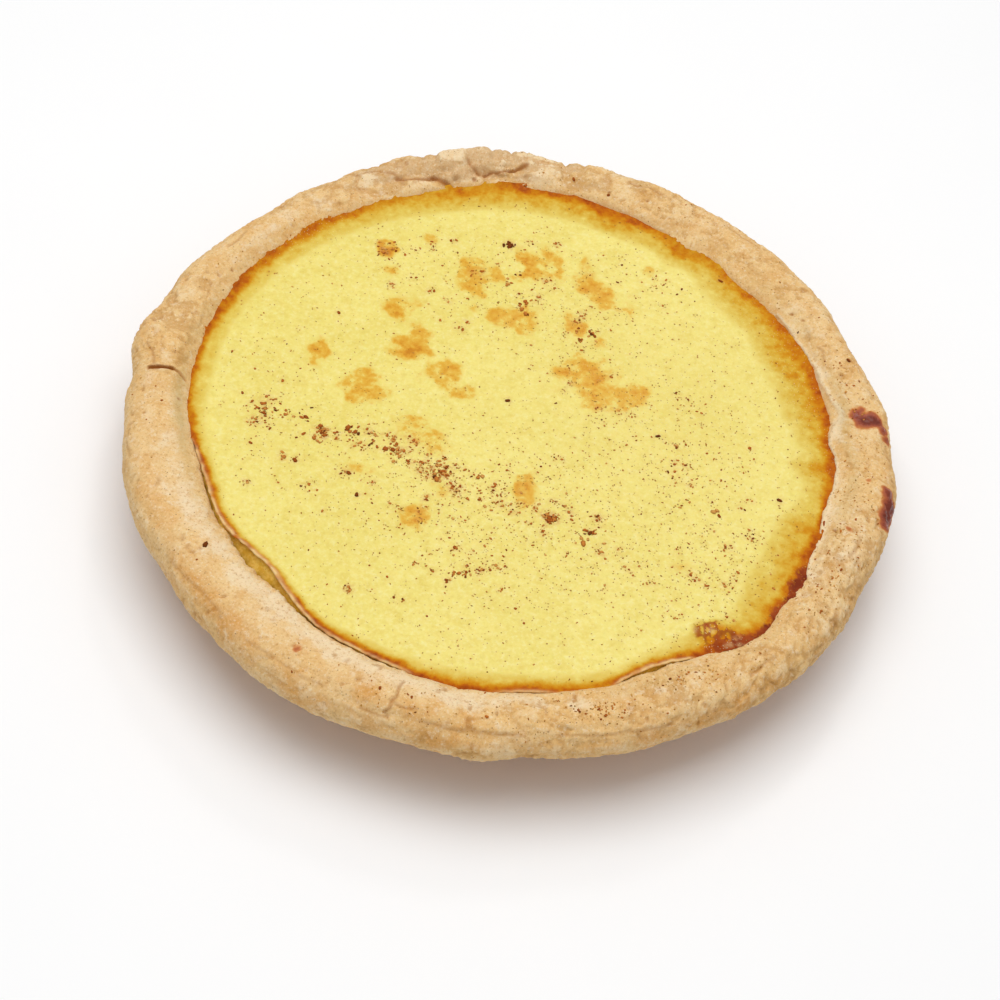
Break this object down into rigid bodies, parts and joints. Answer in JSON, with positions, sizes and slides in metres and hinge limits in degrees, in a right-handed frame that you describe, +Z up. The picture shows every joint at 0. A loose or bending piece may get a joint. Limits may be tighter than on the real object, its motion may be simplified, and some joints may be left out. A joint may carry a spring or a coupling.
{
  "type": "custard pie",
  "caption": "Whole round baked custard pie: a deep shortcrust case with a thick hand-rolled rim, filled with set egg custard dusted with ground nutmeg.",
  "frame": {"origin": "middle of the outline, on the plane the pie stands on", "axes": "+Z up, -Y towards the side that is nearest in the picture, +X to that view's right"},
  "size_m": [0.2024, 0.2008, 0.0313],
  "materials": {
    "crust": "baked shortcrust pastry, matte, mottled",
    "custard": "set egg custard with a baked skin, softly glossy"
  },
  "bodies": {
    "root": {"crust": "crust", "custard": "custard"}
  },
  "joints": []
}
